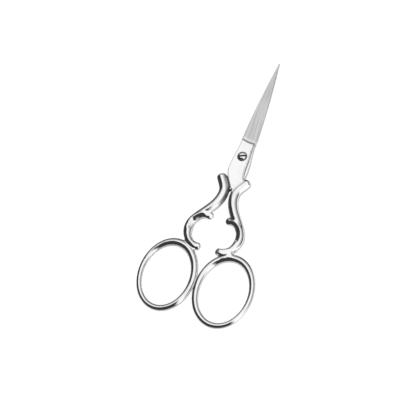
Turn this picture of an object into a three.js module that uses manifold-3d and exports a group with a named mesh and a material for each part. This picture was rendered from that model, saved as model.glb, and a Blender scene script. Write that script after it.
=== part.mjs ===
// Embroidery scissors, closed: two forged halves that cross at a slotted pivot screw.
// Millimetres. The origin is on the pivot axis, in the flat back face of the back half. +Y runs to
// the tips and +Z out through the screw head. Both halves are one forging: the back half is the
// front half turned over about its long axis, so each lies on its own side of the middle plane.
import * as THREE from "three";
import { mergeVertices } from "three/addons/utils/BufferGeometryUtils.js";
import Module from "manifold-3d";

// Crossing plates, where the two halves lap at half thickness
const PLATE_THICKNESS = 1.35;
const RIDE_GAP = 0.12; // between the two faces that slide on each other
const STOP_GAP = 0.3; // from a plate's edge to the shoulder it closes against
const PLATE_BEVEL = 0.14; // broken edge round the outer face
const PLATE_TOP = 5.3; // pivot to the blade's root
const PLATE_EDGE_REACH = 2.0; // pivot to the plate's edge on the cutting side, at the blade's root
const PLATE_WAIST_REACH = 2.15; // the same beside the screw
const PLATE_BACK_REACH = 2.15; // pivot to the plate's edge under the blade's back, at the root
const HIP_REACH = 3.05; // pivot to the plate's widest point
const HIP_DROP = 4.4; // pivot down to that point
const CROSSING_DROP = 10.9; // pivot down to where the two plates' lower edges cross
const CROSSING_SLOPE = 56.5; // degrees, those edges run down across to the shanks
const ARMPIT_SLOPE = 112; // degrees, the cutting-side edge leaves the shoulder this way

// Blade
const BLADE_LENGTH = 28.9; // root to tip
const EDGE_REACH = 2.62; // pivot axis to the cutting edge at the heel
const BACK_REACH = 2.2; // pivot axis to the blade's back at the root
const EDGE_BELLY = 1.4; // a power over 1 swells the cutting edge's line
const BACK_BELLY = 1.55; // the same for the back's line
const BACK_THICKNESS = 1.12; // at the root
const EDGE_THICKNESS = 0.42; // behind the sharpened bevel, at the root
const TIP_THICKNESS = 0.34;
const TIP_WIDTH = 0.16;
const EDGE_BEVEL = 0.22; // width of the sharpened bevel
const HOLLOW_DEPTH = 0.14; // the inner face is ground hollow
const HEEL_HEIGHT = 0.45; // the heel's corner, from the plate out to the cutting edge
const GRIND_RUNOUT = 1.1; // length of the wheel's run-out at the root
const ROOT_SLANT = 0.19; // the root line rises towards the back

// Handle: shoulder, neck and shank
const HANDLE_GAP = 0.56; // between the two necks when closed
const HANDLE_DEPTH = 3.2;
const SHOULDER_REACH = 6.1; // pivot axis to the shoulder's outer side
const SHOULDER_TOP = 6.85; // pivot down to the shoulder's top
const SHOULDER_WIDTH = 3.3;
const SHOULDER_NOSE = 0.95; // height of the blunt end
const SHOULDER_LEAN = 31; // degrees that the shoulder leans outwards
const NECK_DROP = 12.8; // pivot down to the narrowest place
const NECK_WIDTH = 3.34;
const SHANK_BULGE = 0.12; // extra width halfway down the shank
const SHANK_TUCK = 0.14; // how much slimmer it is than the scroll where it ends inside it
const SHANK_END_DEPTH = 2.6; // there, so that the scroll stands out over it
const CURVE_PULL = 0.35; // how long the shank's curves hold their direction, of each span
const RING_SET = 0.7; // how far the ring is bent out to its own half's side
const SET_START = 20; // pivot down to where that bend begins
const SET_END = 36; // and ends

// Handle: the open scroll under the shank
const SCROLL_DROP = 26.6; // pivot down to the scroll's centre
const SCROLL_X = 4.1; // pivot axis to the scroll's centre
const SCROLL_RADIUS_X = 4.75;
const SCROLL_RADIUS_Y = 5.3;
const SCROLL_START = 101; // degrees at the upper knob, from +X
const SCROLL_END = -96; // degrees at the lower knob
const SCROLL_JOIN = 36; // degrees where the shank runs in
const SCROLL_WIDTH = 3.05;
const SCROLL_DEPTH = 3.0;
const SCROLL_NECK_WIDTH = 2.4; // behind the knobs
const KNOB_DIAMETER = 2.6; // the scroll's swollen ends
const KNOB_DEPTH = 1.5; // the scroll gets flatter towards them
const UPPER_NOSE = 1.1; // height of the upper knob's round end
const LOWER_NOSE = 0.9; // the same for the lower one, which is blunter
const KNOB_LENGTH = 2.4; // from a knob's middle to the slim place behind it
const CURL_CROOK_DEPTH = 2.0; // of the steel that fills the crook between shank and curl
const TAIL_CROOK_DEPTH = 2.65; // of the same between the scroll's tail and the ring
const CURL_CROOK = [80, 50]; // degrees on the scroll that the steel towards the shank spans
const SHANK_CROOK = [0.9, 0.66]; // shares of the shank's lower bend that it spans
const TAIL_CROOK = [-40, -92]; // degrees on the scroll that the steel towards the ring spans
const RING_CROOK = [128, 95]; // degrees on the ring that it spans

// Handle: finger ring
const RING_GAP = 0.3; // between the two rings when closed
const RING_WIDTH = 19.6;
const RING_HEIGHT = 24.25;
const RING_LAP = 0.75; // how far the ring's top rises into the scroll
const RING_ROUNDNESS = 0.92; // depth of the ring's section over its width
const BAND_TOP = 3.15;
const BAND_INNER = 2.25;
const BAND_BOTTOM = 1.95;
const BAND_OUTER = 1.85;

// Pivot screw
const HEAD_DIAMETER = 3.0;
const HEAD_RIM = 0.3;
const HEAD_DOME = 0.3;
const SLOT_WIDTH = 0.5;
const SLOT_DEPTH = 0.36;
const SLOT_TURN = 18; // degrees from +X
const SCREW_SHOULDER_DIAMETER = 2.1;
const SCREW_THREAD_DIAMETER = 1.8;
const RUNNING_CLEARANCE = 0.05; // round the shoulder, and under the head
const THREAD_CLEARANCE = 0.04;
const SCREW_CHAMFER = 0.12;

// Facets
const ROD_SIDES = 12;
const ROD_STEPS = 26;
const NOSE_RINGS = 3;
const RING_STEPS = 60;
const BLADE_STEPS = 12;
const RUNOUT_STEPS = 4;
const OUTLINE_STEPS = 8;
const CROOK_STEPS = 8;
const ROUND_SIDES = 36;

const MIDDLE_PLANE = PLATE_THICKNESS + RIDE_GAP / 2;
const FACE_INNER = RIDE_GAP / 2;
const FACE_OUTER = FACE_INNER + PLATE_THICKNESS;
const wasm = await Module();
wasm.setup();

const radians = THREE.MathUtils.degToRad;
const lerp = THREE.MathUtils.lerp;
const heading = (degrees) => new THREE.Vector2(Math.cos(radians(degrees)), Math.sin(radians(degrees)));

// A closed geometry as a solid for joins and cuts.
function solid(geometry) {
  const bare = new THREE.BufferGeometry().setAttribute("position", geometry.getAttribute("position"));
  bare.setIndex(geometry.index);
  const merged = mergeVertices(bare);
  const corners = merged.index.array;
  const kept = [];
  for (let i = 0; i < corners.length; i += 3) {
    const [a, b, c] = corners.slice(i, i + 3);
    if (a !== b && b !== c && c !== a) kept.push(a, b, c);
  }
  return new wasm.Manifold(
    new wasm.Mesh({
      numProp: 3,
      vertProperties: merged.attributes.position.array,
      triVerts: new Uint32Array(kept),
    }),
  );
}

function geometryOf(body) {
  const mesh = body.getMesh();
  const geometry = new THREE.BufferGeometry();
  geometry.setAttribute("position", new THREE.BufferAttribute(mesh.vertProperties, 3));
  geometry.setIndex(new THREE.BufferAttribute(mesh.triVerts, 1));
  return geometry;
}

// A skin over a row of rings with equal counts of points. Each ring runs anticlockwise, seen from
// the row's end. An open row is closed by a flat cap or, where a ring is one point, by a nose.
function skin(rings, { loop = false } = {}) {
  const points = rings.flat();
  const starts = [];
  rings.reduce((start, ring) => {
    starts.push(start);
    return start + ring.length;
  }, 0);
  const index = [];
  const spans = loop ? rings.length : rings.length - 1;
  for (let r = 0; r < spans; r += 1) {
    const next = (r + 1) % rings.length;
    const sides = Math.max(rings[r].length, rings[next].length);
    for (let i = 0; i < sides; i += 1) {
      const j = (i + 1) % sides;
      const [a, b] = rings[r].length === 1 ? [0, 0] : [i, j];
      const [c, d] = rings[next].length === 1 ? [0, 0] : [i, j];
      if (a !== b) index.push(starts[r] + a, starts[r] + b, starts[next] + d);
      if (c !== d) index.push(starts[r] + a, starts[next] + d, starts[next] + c);
    }
  }
  if (!loop) {
    index.push(...cap(rings[0], starts[0], true));
    index.push(...cap(rings.at(-1), starts.at(-1), false));
  }
  const geometry = new THREE.BufferGeometry().setFromPoints(points);
  return geometry.setIndex(index);
}

// Triangles over a flat ring, in the plane that the ring lies in.
function cap(ring, start, facingBack) {
  if (ring.length === 1) return [];
  const normal = ringNormal(ring);
  const across = new THREE.Vector3(1, 0, 0);
  if (Math.abs(normal.x) > 0.9) across.set(0, 1, 0);
  const u = new THREE.Vector3().crossVectors(across, normal).normalize();
  const v = new THREE.Vector3().crossVectors(normal, u);
  const flat = ring.map((p) => new THREE.Vector2(p.dot(u), p.dot(v)));
  const faces = THREE.ShapeUtils.triangulateShape(flat, []);
  return faces.flatMap(([a, b, c]) => (facingBack ? [c, b, a] : [a, b, c]).map((k) => k + start));
}

// The direction a ring turns about, from the sum of its edges' cross products.
function ringNormal(ring) {
  const sum = new THREE.Vector3();
  ring.forEach((p, i) => {
    const q = ring[(i + 1) % ring.length];
    sum.add(new THREE.Vector3().crossVectors(p, q));
  });
  return sum.normalize();
}

// An oval ring of the rod's section: centre, sideways direction in the plane, half width and depth.
function ovalRing(centre, side, halfWidth, halfDepth) {
  return Array.from({ length: ROD_SIDES }, (_, i) => {
    const turn = (2 * Math.PI * i) / ROD_SIDES;
    const out = halfWidth * Math.cos(turn);
    return new THREE.Vector3(centre.x + side.x * out, centre.y + side.y * out, halfDepth * Math.sin(turn));
  });
}

// A rod of oval section along a plane curve, with a rounded nose of a given height at each end.
function rod(curve, halfWidth, halfDepth, firstNose, lastNose) {
  const station = (u, ahead, slim) => {
    const tangent = curve.getTangentAt(u);
    const centre = curve.getPointAt(u).addScaledVector(tangent, ahead);
    const side = new THREE.Vector2(-tangent.y, tangent.x);
    if (slim === 0) return [new THREE.Vector3(centre.x, centre.y, 0)];
    return ovalRing(centre, side, slim * halfWidth(u), slim * halfDepth(u));
  };
  const nose = (u, height) => {
    const lifts = Array.from({ length: NOSE_RINGS }, (_, k) => (Math.PI / 2) * ((k + 1) / (NOSE_RINGS + 1)));
    const rings = lifts.map((lift) => station(u, height * Math.sin(lift), Math.cos(lift)));
    return [...rings, station(u, height, 0)];
  };
  const run = Array.from({ length: ROD_STEPS + 1 }, (_, i) => station(i / ROD_STEPS, 0, 1));
  return skin([...nose(0, -firstNose).reverse(), ...run, ...nose(1, lastNose)]);
}

// A curve that leaves one point on a heading and arrives at the next on another.
function bend(from, leave, to, arrive) {
  const pull = CURVE_PULL * from.distanceTo(to);
  const start = from.clone().addScaledVector(leave, pull);
  const end = to.clone().addScaledVector(arrive, -pull);
  return new THREE.CubicBezierCurve(from, start, end, to);
}

// Places along the handle, in the half's own frame: the middle plane is z = 0.
const shoulder = new THREE.Vector2(SHOULDER_REACH - SHOULDER_WIDTH / 2, -SHOULDER_TOP - SHOULDER_NOSE);
const neck = new THREE.Vector2((HANDLE_GAP + NECK_WIDTH) / 2, -NECK_DROP);
const scrollCentre = new THREE.Vector2(SCROLL_X, -SCROLL_DROP);
const scrollPoint = (degrees) => {
  const out = heading(degrees);
  return new THREE.Vector2(SCROLL_RADIUS_X * out.x, SCROLL_RADIUS_Y * out.y).add(scrollCentre);
};
const crossing = heading(-CROSSING_SLOPE);
const crossPoint = new THREE.Vector2(0, -CROSSING_DROP);

// Height of the blade's root, a line that rises towards the blade's back.
const rootLine = (x) => PLATE_TOP - ROOT_SLANT * x;

// The crossing plate's outline, grown outwards by a margin.
function plateOutline(grow) {
  const hip = new THREE.Vector2(-HIP_REACH - grow, -HIP_DROP);
  const square = new THREE.Vector2(crossing.y, -crossing.x).multiplyScalar(grow);
  const lap = crossPoint.clone().add(square);
  const foot = lap.clone().addScaledVector(crossing, neck.x / crossing.x);
  const root = new THREE.Vector2(-PLATE_BACK_REACH - grow, rootLine(-PLATE_BACK_REACH) + grow);
  const heel = new THREE.Vector2(PLATE_EDGE_REACH + grow, rootLine(PLATE_EDGE_REACH) + grow);
  const waist = new THREE.Vector2(PLATE_WAIST_REACH + grow, -HEAD_DIAMETER / 2);
  const armpit = new THREE.Vector2(shoulder.x - SHOULDER_WIDTH / 2 + grow, shoulder.y + SHOULDER_WIDTH / 4);
  const down = new THREE.Vector2(0, -1);
  const up = new THREE.Vector2(0, 1);
  const outline = new THREE.CurvePath();
  outline.add(bend(root, down, hip, down));
  outline.add(bend(hip, down, lap, crossing));
  outline.add(new THREE.LineCurve(lap, foot));
  outline.add(new THREE.LineCurve(foot, shoulder));
  outline.add(new THREE.LineCurve(shoulder, armpit));
  outline.add(bend(armpit, heading(ARMPIT_SLOPE), waist, up));
  outline.add(bend(waist, up, heel, up));
  return outline.getPoints(OUTLINE_STEPS);
}

const level = (points, z) => points.map((p) => new THREE.Vector3(p.x, p.y, z));

function crossingPlate() {
  const full = plateOutline(0);
  return skin([
    level(full, FACE_INNER),
    level(full, FACE_OUTER - PLATE_BEVEL),
    level(plateOutline(-PLATE_BEVEL), FACE_OUTER),
  ]);
}

// The room that the other half's plate takes on the far side of the middle plane.
function lapRoom() {
  const other = plateOutline(STOP_GAP).map((p) => new THREE.Vector2(-p.x, p.y));
  other.reverse();
  return skin([level(other, -HANDLE_DEPTH), level(other, FACE_INNER)]);
}

// One section of the blade: inner face with its hollow, sharpened bevel, outer face, back.
// share runs from 0 at the root to 1 at the tip, and lift from 0 on the ground face to 1 at the plate.
function bladeSection(share, edgeX, lift) {
  const gone = Math.max(share, 0);
  const edge = TIP_WIDTH / 2 + edgeX * (1 - gone ** EDGE_BELLY);
  const back = TIP_WIDTH / -2 - BACK_REACH * (1 - gone ** BACK_BELLY);
  const slim = 1 - share;
  const bevel = Math.min(EDGE_BEVEL, (edge - back) / 4);
  const edgeTop = lerp(lerp(TIP_THICKNESS, EDGE_THICKNESS, slim), PLATE_THICKNESS, lift);
  const backTop = lerp(lerp(TIP_THICKNESS, BACK_THICKNESS, slim), PLATE_THICKNESS, lift);
  const rounding = Math.min(bevel, backTop / 4);
  const profile = [
    [back, FACE_INNER],
    [(edge + back) / 2, FACE_INNER + HOLLOW_DEPTH * slim],
    [edge, FACE_INNER],
    [edge - bevel, FACE_INNER + edgeTop],
    [back + rounding, FACE_INNER + backTop],
    [back, FACE_INNER + backTop - rounding],
  ];
  return profile.map(([x, z]) => {
    const y = PLATE_TOP + share * BLADE_LENGTH - x * ROOT_SLANT * slim;
    return new THREE.Vector3(x, y, z);
  });
}

function blade() {
  const rings = [];
  const sink = -HEEL_HEIGHT / BLADE_LENGTH;
  rings.push(bladeSection(sink, PLATE_EDGE_REACH - PLATE_BEVEL, 1));
  rings.push(bladeSection(0, PLATE_EDGE_REACH - PLATE_BEVEL, 1));
  for (let i = 1; i <= RUNOUT_STEPS; i += 1) {
    const along = i / RUNOUT_STEPS;
    const lift = 1 - Math.sqrt(1 - (1 - along) ** 2);
    const flare = Math.min(1, (along * GRIND_RUNOUT) / HEEL_HEIGHT);
    const edgeX = lerp(PLATE_EDGE_REACH, EDGE_REACH, Math.sqrt(flare));
    rings.push(bladeSection((along * GRIND_RUNOUT) / BLADE_LENGTH, edgeX, lift));
  }
  const clear = GRIND_RUNOUT / BLADE_LENGTH;
  for (let i = 1; i <= BLADE_STEPS; i += 1) {
    rings.push(bladeSection(lerp(clear, 1, i / BLADE_STEPS), EDGE_REACH, 0));
  }
  return skin(rings.map((ring) => ring.reverse()));
}

// A smooth change from one value to another as share runs from 0 to 1.
const ease = (from, to, share) => lerp(from, to, THREE.MathUtils.smoothstep(share, 0, 1));

// The shank's lower bend, from the neck out into the scroll.
const plumb = new THREE.Vector2(0, -1);
const lowerBend = bend(neck, plumb, scrollPoint(SCROLL_JOIN), heading(SCROLL_JOIN - 90));

// Shoulder, neck and shank in one run, from the shoulder's blunt end into the scroll.
function shank() {
  const run = new THREE.CurvePath();
  run.add(bend(shoulder, heading(-90 - SHOULDER_LEAN), neck, plumb));
  run.add(lowerBend);
  const [toNeck, whole] = run.getCurveLengths();
  const below = (u) => Math.max(0, (u * whole - toNeck) / (whole - toNeck));
  const above = (u) => Math.min(1, (u * whole) / toNeck);
  const halfWidth = (u) => {
    const upper = lerp(SHOULDER_WIDTH, NECK_WIDTH, above(u));
    const bulge = SHANK_BULGE * Math.sin(Math.PI * below(u));
    return (lerp(upper, SCROLL_WIDTH - SHANK_TUCK, below(u)) + bulge) / 2;
  };
  const halfDepth = (u) => ease(HANDLE_DEPTH, SHANK_END_DEPTH, below(u)) / 2;
  return rod(run, halfWidth, halfDepth, SHOULDER_NOSE, SCROLL_WIDTH / 2);
}

// The open scroll: a knob at each end, slim behind the knobs and fullest in the middle.
function scroll() {
  const arc = new THREE.EllipseCurve(
    scrollCentre.x,
    scrollCentre.y,
    SCROLL_RADIUS_X,
    SCROLL_RADIUS_Y,
    radians(SCROLL_START),
    radians(SCROLL_END),
    true,
  );
  const length = arc.getLength();
  const fromEnd = (u) => Math.min(u, 1 - u) * length;
  const knobShare = (u) => fromEnd(u) / KNOB_LENGTH;
  const stemShare = (u) => (fromEnd(u) - KNOB_LENGTH) / (length / 2 - KNOB_LENGTH);
  const halfWidth = (u) => {
    if (knobShare(u) < 1) return ease(KNOB_DIAMETER, SCROLL_NECK_WIDTH, knobShare(u)) / 2;
    return ease(SCROLL_NECK_WIDTH, SCROLL_WIDTH, stemShare(u)) / 2;
  };
  const halfDepth = (u) => ease(KNOB_DEPTH, SCROLL_DEPTH, knobShare(u)) / 2;
  return rod(arc, halfWidth, halfDepth, UPPER_NOSE, LOWER_NOSE);
}

// The finger ring's outer ellipse and the finger hole's ellipse.
const outerHalf = new THREE.Vector2(RING_WIDTH, RING_HEIGHT).divideScalar(2);
const ringTop = -SCROLL_DROP - SCROLL_RADIUS_Y + RING_LAP;
const outerCentre = new THREE.Vector2(RING_GAP / 2 + outerHalf.x, ringTop - outerHalf.y);
const bands = new THREE.Vector2(BAND_INNER + BAND_OUTER, BAND_TOP + BAND_BOTTOM).divideScalar(2);
const shift = new THREE.Vector2(BAND_INNER - BAND_OUTER, BAND_BOTTOM - BAND_TOP).divideScalar(2);
const holeHalf = outerHalf.clone().sub(bands);
const holeCentre = outerCentre.clone().add(shift);
const outerPoint = (degrees) => heading(degrees).multiply(outerHalf).add(outerCentre);
const holePoint = (degrees) => heading(degrees).multiply(holeHalf).add(holeCentre);
const bandPoint = (degrees) => outerPoint(degrees).add(holePoint(degrees)).divideScalar(2);

// The finger ring: oval sections that span from the outer ellipse to the finger hole's ellipse.
function fingerRing() {
  const rings = [];
  for (let i = 0; i < RING_STEPS; i += 1) {
    const degrees = (360 * i) / RING_STEPS;
    const side = outerPoint(degrees).sub(holePoint(degrees));
    const halfWidth = side.length() / 2;
    const halfDepth = RING_ROUNDNESS * halfWidth;
    rings.push(ovalRing(bandPoint(degrees), side.normalize(), halfWidth, halfDepth).reverse());
  }
  return skin(rings, { loop: true });
}

// Even steps from one value to another.
function span(from, to) {
  return Array.from({ length: CROOK_STEPS + 1 }, (_, i) => lerp(from, to, i / CROOK_STEPS));
}

// A flat fill of a narrow crook, inside an outline that runs anticlockwise.
function crook(outline, depth) {
  return skin([level(outline, -depth / 2), level(outline, depth / 2)]);
}

// Between the shank and the curl above the scroll.
function curlCrook() {
  const beside = span(...SHANK_CROOK).map((share) => lowerBend.getPoint(share));
  const curl = span(...CURL_CROOK).map(scrollPoint);
  return crook([...beside, ...curl], CURL_CROOK_DEPTH);
}

// Between the scroll's tail and the ring.
function tailCrook() {
  const ring = span(...RING_CROOK).map(bandPoint);
  const tail = span(...TAIL_CROOK).map(scrollPoint);
  return crook([...ring, ...tail], TAIL_CROOK_DEPTH);
}

// The handle in one flat plane, bent so that the ring lies on its own half's side.
function bentOut(geometry) {
  const places = geometry.getAttribute("position");
  for (let i = 0; i < places.count; i += 1) {
    const share = (-places.getY(i) - SET_START) / (SET_END - SET_START);
    places.setZ(i, places.getZ(i) + ease(0, RING_SET, share));
  }
  return geometry;
}

function bore(diameter) {
  const radius = diameter / 2;
  return new THREE.CylinderGeometry(radius, radius, 4 * FACE_OUTER, ROUND_SIDES).rotateX(Math.PI / 2);
}

function half(holeDiameter) {
  const forms = [shank(), scroll(), fingerRing(), curlCrook(), tailCrook()];
  const handle = forms.map((form) => solid(bentOut(form))).reduce((sum, next) => sum.add(next));
  const lapped = handle.subtract(solid(lapRoom()));
  const forged = lapped.add(solid(crossingPlate())).add(solid(blade()));
  return geometryOf(forged.subtract(solid(bore(holeDiameter))));
}

// The screw stands with its filed end at z = 0 and is turned about Z.
function screw() {
  const thread = SCREW_THREAD_DIAMETER / 2;
  const plain = SCREW_SHOULDER_DIAMETER / 2;
  const head = HEAD_DIAMETER / 2;
  const seat = PLATE_THICKNESS + RUNNING_CLEARANCE;
  const under = 2 * PLATE_THICKNESS + RIDE_GAP + RUNNING_CLEARANCE;
  const rim = under + HEAD_RIM;
  const profile = new THREE.Path();
  profile.moveTo(0, 0);
  profile.lineTo(thread - SCREW_CHAMFER, 0);
  profile.lineTo(thread, SCREW_CHAMFER);
  profile.lineTo(thread, seat);
  profile.lineTo(plain, seat);
  profile.lineTo(plain, under);
  profile.lineTo(head, under);
  profile.lineTo(head, rim);
  profile.absellipse(0, rim, head, HEAD_DOME, 0, Math.PI / 2);
  const turned = new THREE.LatheGeometry(profile.getPoints(NOSE_RINGS * 2), ROUND_SIDES).rotateX(Math.PI / 2);
  const slot = new THREE.BoxGeometry(2 * HEAD_DIAMETER, SLOT_WIDTH, 2 * SLOT_DEPTH);
  slot.rotateZ(radians(SLOT_TURN)).translate(0, 0, rim + HEAD_DOME);
  return geometryOf(solid(turned).subtract(solid(slot)));
}

const polishedSteel = new THREE.MeshStandardMaterial({ color: 0xd9dadb, metalness: 1, roughness: 0.12 });
const turnedSteel = new THREE.MeshStandardMaterial({ color: 0xc9cacb, metalness: 1, roughness: 0.25 });

const frontHalf = new THREE.Mesh(half(SCREW_SHOULDER_DIAMETER + 2 * RUNNING_CLEARANCE), polishedSteel);
frontHalf.name = "front_half";
frontHalf.position.z = MIDDLE_PLANE;

const backHalf = new THREE.Mesh(half(SCREW_THREAD_DIAMETER + 2 * THREAD_CLEARANCE), polishedSteel);
backHalf.name = "back_half";
const turnedOver = new THREE.Group();
turnedOver.rotation.y = Math.PI;
turnedOver.position.z = MIDDLE_PLANE;
turnedOver.add(backHalf);

const pivotScrew = new THREE.Mesh(screw(), turnedSteel);
pivotScrew.name = "pivot_screw";

const scissors = new THREE.Group();
scissors.add(frontHalf, turnedOver, pivotScrew);

export default scissors;
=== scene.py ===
# %% [markdown]
# # Embroidery scissors in polished and satin steel
# A pair of small scissors lies closed on a white studio floor. Two forged halves cross at a slotted
# screw: the blades are ground to a satin face, and everything below them is polished like a mirror.
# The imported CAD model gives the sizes, the pivot and the two bodies. This lesson dresses it: each cell
# makes one piece or one finish, in millimetres, and moves it into the frame, which is in metres.

import bpy
import numpy as np
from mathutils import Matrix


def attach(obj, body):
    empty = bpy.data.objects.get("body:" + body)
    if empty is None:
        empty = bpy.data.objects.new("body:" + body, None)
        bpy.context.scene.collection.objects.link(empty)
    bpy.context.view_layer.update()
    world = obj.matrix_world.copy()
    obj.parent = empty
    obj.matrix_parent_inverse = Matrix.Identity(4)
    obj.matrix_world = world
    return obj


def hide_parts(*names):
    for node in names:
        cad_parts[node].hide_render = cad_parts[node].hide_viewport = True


MM = 0.001
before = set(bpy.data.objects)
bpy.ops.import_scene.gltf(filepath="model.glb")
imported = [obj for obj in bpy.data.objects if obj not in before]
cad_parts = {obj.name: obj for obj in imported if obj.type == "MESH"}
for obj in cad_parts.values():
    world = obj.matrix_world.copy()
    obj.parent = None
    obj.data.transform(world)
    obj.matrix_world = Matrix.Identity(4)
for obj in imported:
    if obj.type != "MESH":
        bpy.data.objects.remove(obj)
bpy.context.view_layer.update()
scene = bpy.context.scene
print("CAD nodes:", sorted(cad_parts))

# %% [markdown]
# ## Camera
# The picture is taken from above and from the lower right, with a portrait lens about 37 cm away.
# A camera can be aimed by eye or worked out. Here it is worked out: its place, turn and lens are the
# ones that put the pivot, the tip, the scrolls and the rings where the picture has them.

# %% Camera
CAMERA_PLACE = np.array([122.77, -105.61, 337.62])
CAMERA_TURN = (20.008, 14.468, 21.396)
CAMERA_LENS = 99.86
SENSOR_WIDTH = 36.0
NEAREST_SEEN = 10
camera_data = bpy.data.cameras.new("studio_camera")
camera_data.lens = CAMERA_LENS
camera_data.sensor_width = SENSOR_WIDTH
camera_data.clip_start = NEAREST_SEEN * MM
camera = bpy.data.objects.new("studio_camera", camera_data)
camera.location = CAMERA_PLACE * MM
camera.rotation_euler = np.radians(CAMERA_TURN)
scene.collection.objects.link(camera)
scene.camera = camera
scene.view_settings.view_transform = "Standard"
print("camera", np.round(np.linalg.norm(CAMERA_PLACE)), "mm from the pivot")

# %% [markdown]
# ## From grids of numbers to meshes
# Every form here is a grid: rows along a path, columns round a section. The forms could be pulled out of
# cubes and cylinders by hand. A grid is computed as whole arrays instead, and its rows and columns
# follow the form, so that light runs along it without kinks. One helper puts quads over such a grid,
# and others let Blender's modifiers work on the result.


# %% Grids become skins
def skin(grid, ring=False):
    """Quads between neighbours of a (rows, columns, 3) grid whose columns close round.

    Rows close round too on a ring. Otherwise each end gets one flat face. The sum of the quads' triple
    products is about six times the volume inside: where it is negative, all faces are turned round.
    """
    rows, columns = grid.shape[:2]
    index = np.arange(rows * columns).reshape(rows, columns)
    lines = np.vstack([index, index[:1]]) if ring else index
    beside = np.roll(lines, -1, axis=1)
    quads = np.stack([lines[:-1], beside[:-1], beside[1:], lines[1:]], axis=-1).reshape(-1, 4)
    faces = quads.tolist()
    if not ring:
        faces += [index[0, ::-1].tolist(), index[-1].tolist()]
    corners = grid.reshape(-1, 3)
    a, b, c, d = (corners[quads[:, k]] for k in range(4))
    six_volumes = np.sum(np.cross(a, b) * c) + np.sum(np.cross(a, c) * d)
    if six_volumes < 0:
        faces = [face[::-1] for face in faces]
    return corners, faces


def joined(*skins):
    """Several skins as one list of corners and one of faces, each skin's counted on from its start."""
    corners = np.vstack([points for points, _ in skins])
    starts = np.cumsum([0] + [len(points) for points, _ in skins])
    faces = [[k + start for k in face] for start, (_, part) in zip(starts, skins) for face in part]
    return corners, faces


print("grid helpers: skin, joined")


# %% Working objects
def scratch(name, shape):
    """A working object in millimetres, on which modifiers can be run."""
    corners, faces = shape
    mesh = bpy.data.meshes.new(name)
    mesh.from_pydata(corners.tolist(), [], faces)
    body = bpy.data.objects.new(name, mesh)
    scene.collection.objects.link(body)
    return body


def worked(body):
    """The working object's corners and faces after its modifiers. The object itself is removed."""
    depsgraph = bpy.context.evaluated_depsgraph_get()
    mesh = bpy.data.meshes.new_from_object(body.evaluated_get(depsgraph))
    corners = np.empty(len(mesh.vertices) * 3)
    mesh.vertices.foreach_get("co", corners)
    faces = [list(face.vertices) for face in mesh.polygons]
    bpy.data.objects.remove(body)
    bpy.data.meshes.remove(mesh)
    return corners.reshape(-1, 3), faces


print("working helpers: scratch, worked")

# %% Cutting, melting and smoothing
HALFWAY = 0.5


def cut(shape, tool):
    """One closed shape less another, by Blender's Boolean modifier."""
    body = scratch("cut_body", shape)
    knife = scratch("cut_knife", tool)
    boolean = body.modifiers.new("cut", "BOOLEAN")
    boolean.operation = "DIFFERENCE"
    boolean.solver = "MANIFOLD"
    boolean.object = knife
    result = worked(body)
    bpy.data.objects.remove(knife)
    return result


def smoothing(body, rounds):
    """A Smooth modifier: in each round a corner goes halfway to the mean of its neighbours."""
    smooth = body.modifiers.new("smooth", "SMOOTH")
    smooth.factor = HALFWAY
    smooth.iterations = rounds
    return smooth


def melted(shape, voxel, rounds):
    """Overlapping closed shapes as one skin of small even quads, with their joins smoothed."""
    body = scratch("melt", shape)
    remesh = body.modifiers.new("voxels", "REMESH")
    remesh.mode = "VOXEL"
    remesh.voxel_size = voxel
    smoothing(body, rounds)
    return worked(body)


def softened(shape, chosen, rounds):
    """Only the chosen corners smoothed, by a vertex group of full weight."""
    body = scratch("soften", shape)
    group = body.vertex_groups.new(name="chosen")
    group.add(np.flatnonzero(chosen).tolist(), 1.0, "REPLACE")
    smoothing(body, rounds).vertex_group = group.name
    return worked(body)


print("modifier helpers: cut, smoothing, melted, softened")

# %% [markdown]
# ## Lines of the forging
# Both halves come out of one pair of dies, so one set of lines draws both. In the half's own frame the
# middle plane is z = 0, the blade's back is on the left and the handle is on the right. The lines are
# the CAD model's: a bend leaves a point on one heading and arrives at the next on another. Blender's own
# curves are of the same kind, but worked out here, their points go straight into the grids.

# %% Bends and even steps
PULL = 0.35


def heading(degrees):
    """Unit vector at an angle from +X: its cosine and its sine."""
    turn = np.radians(degrees)
    return np.array([np.cos(turn), np.sin(turn)])


def bend(start, leave, end, arrive, count=120):
    """Cubic curve whose inner knots lie the pull times the ends' distance along the two headings."""
    pull = PULL * np.linalg.norm(np.subtract(end, start))
    knots = np.array([start, start + leave * pull, end - arrive * pull, end])
    t = np.linspace(0, 1, count)[:, None]
    weights = np.hstack([(1 - t) ** 3, 3 * t * (1 - t) ** 2, 3 * t**2 * (1 - t), t**3])
    return weights @ knots


def walked(line, count):
    """A line in equal steps of its length: points, unit tangents and the distance walked."""
    steps = np.linalg.norm(np.diff(line, axis=0), axis=1)
    gone = np.concatenate([[0], np.cumsum(steps)])
    distance = np.linspace(0, gone[-1], count)
    points = np.stack([np.interp(distance, gone, line[:, k]) for k in (0, 1)], axis=1)
    tangents = np.gradient(points, axis=0)
    tangents /= np.linalg.norm(tangents, axis=1, keepdims=True)
    return points, tangents, distance


def eased(start, end, share):
    """A smooth change from one value to another: 3s^2 - 2s^3 of the way at share s."""
    s = np.clip(share, 0, 1)
    return start + (end - start) * (3 * s**2 - 2 * s**3)


def ellipse(centre, radii, first, last, count):
    """Points of an ellipse between two angles in degrees: centre + radii times cosine and sine."""
    turn = np.radians(np.linspace(first, last, count))
    return centre + radii * np.stack([np.cos(turn), np.sin(turn)], axis=1)


print("line helpers: heading, bend, walked, eased, ellipse")

# %% [markdown]
# ## Rods
# Shank and scroll are rods: an oval carried along a curve, which swells and thins on the way and ends
# in a blunt nose. Blender's curve bevel could do it, but not with a width and a depth of their own at
# each step, so the oval is carried along in numpy.

# %% A rod of changing oval section
NOSE_TURN = 0.495 * np.pi


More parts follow.
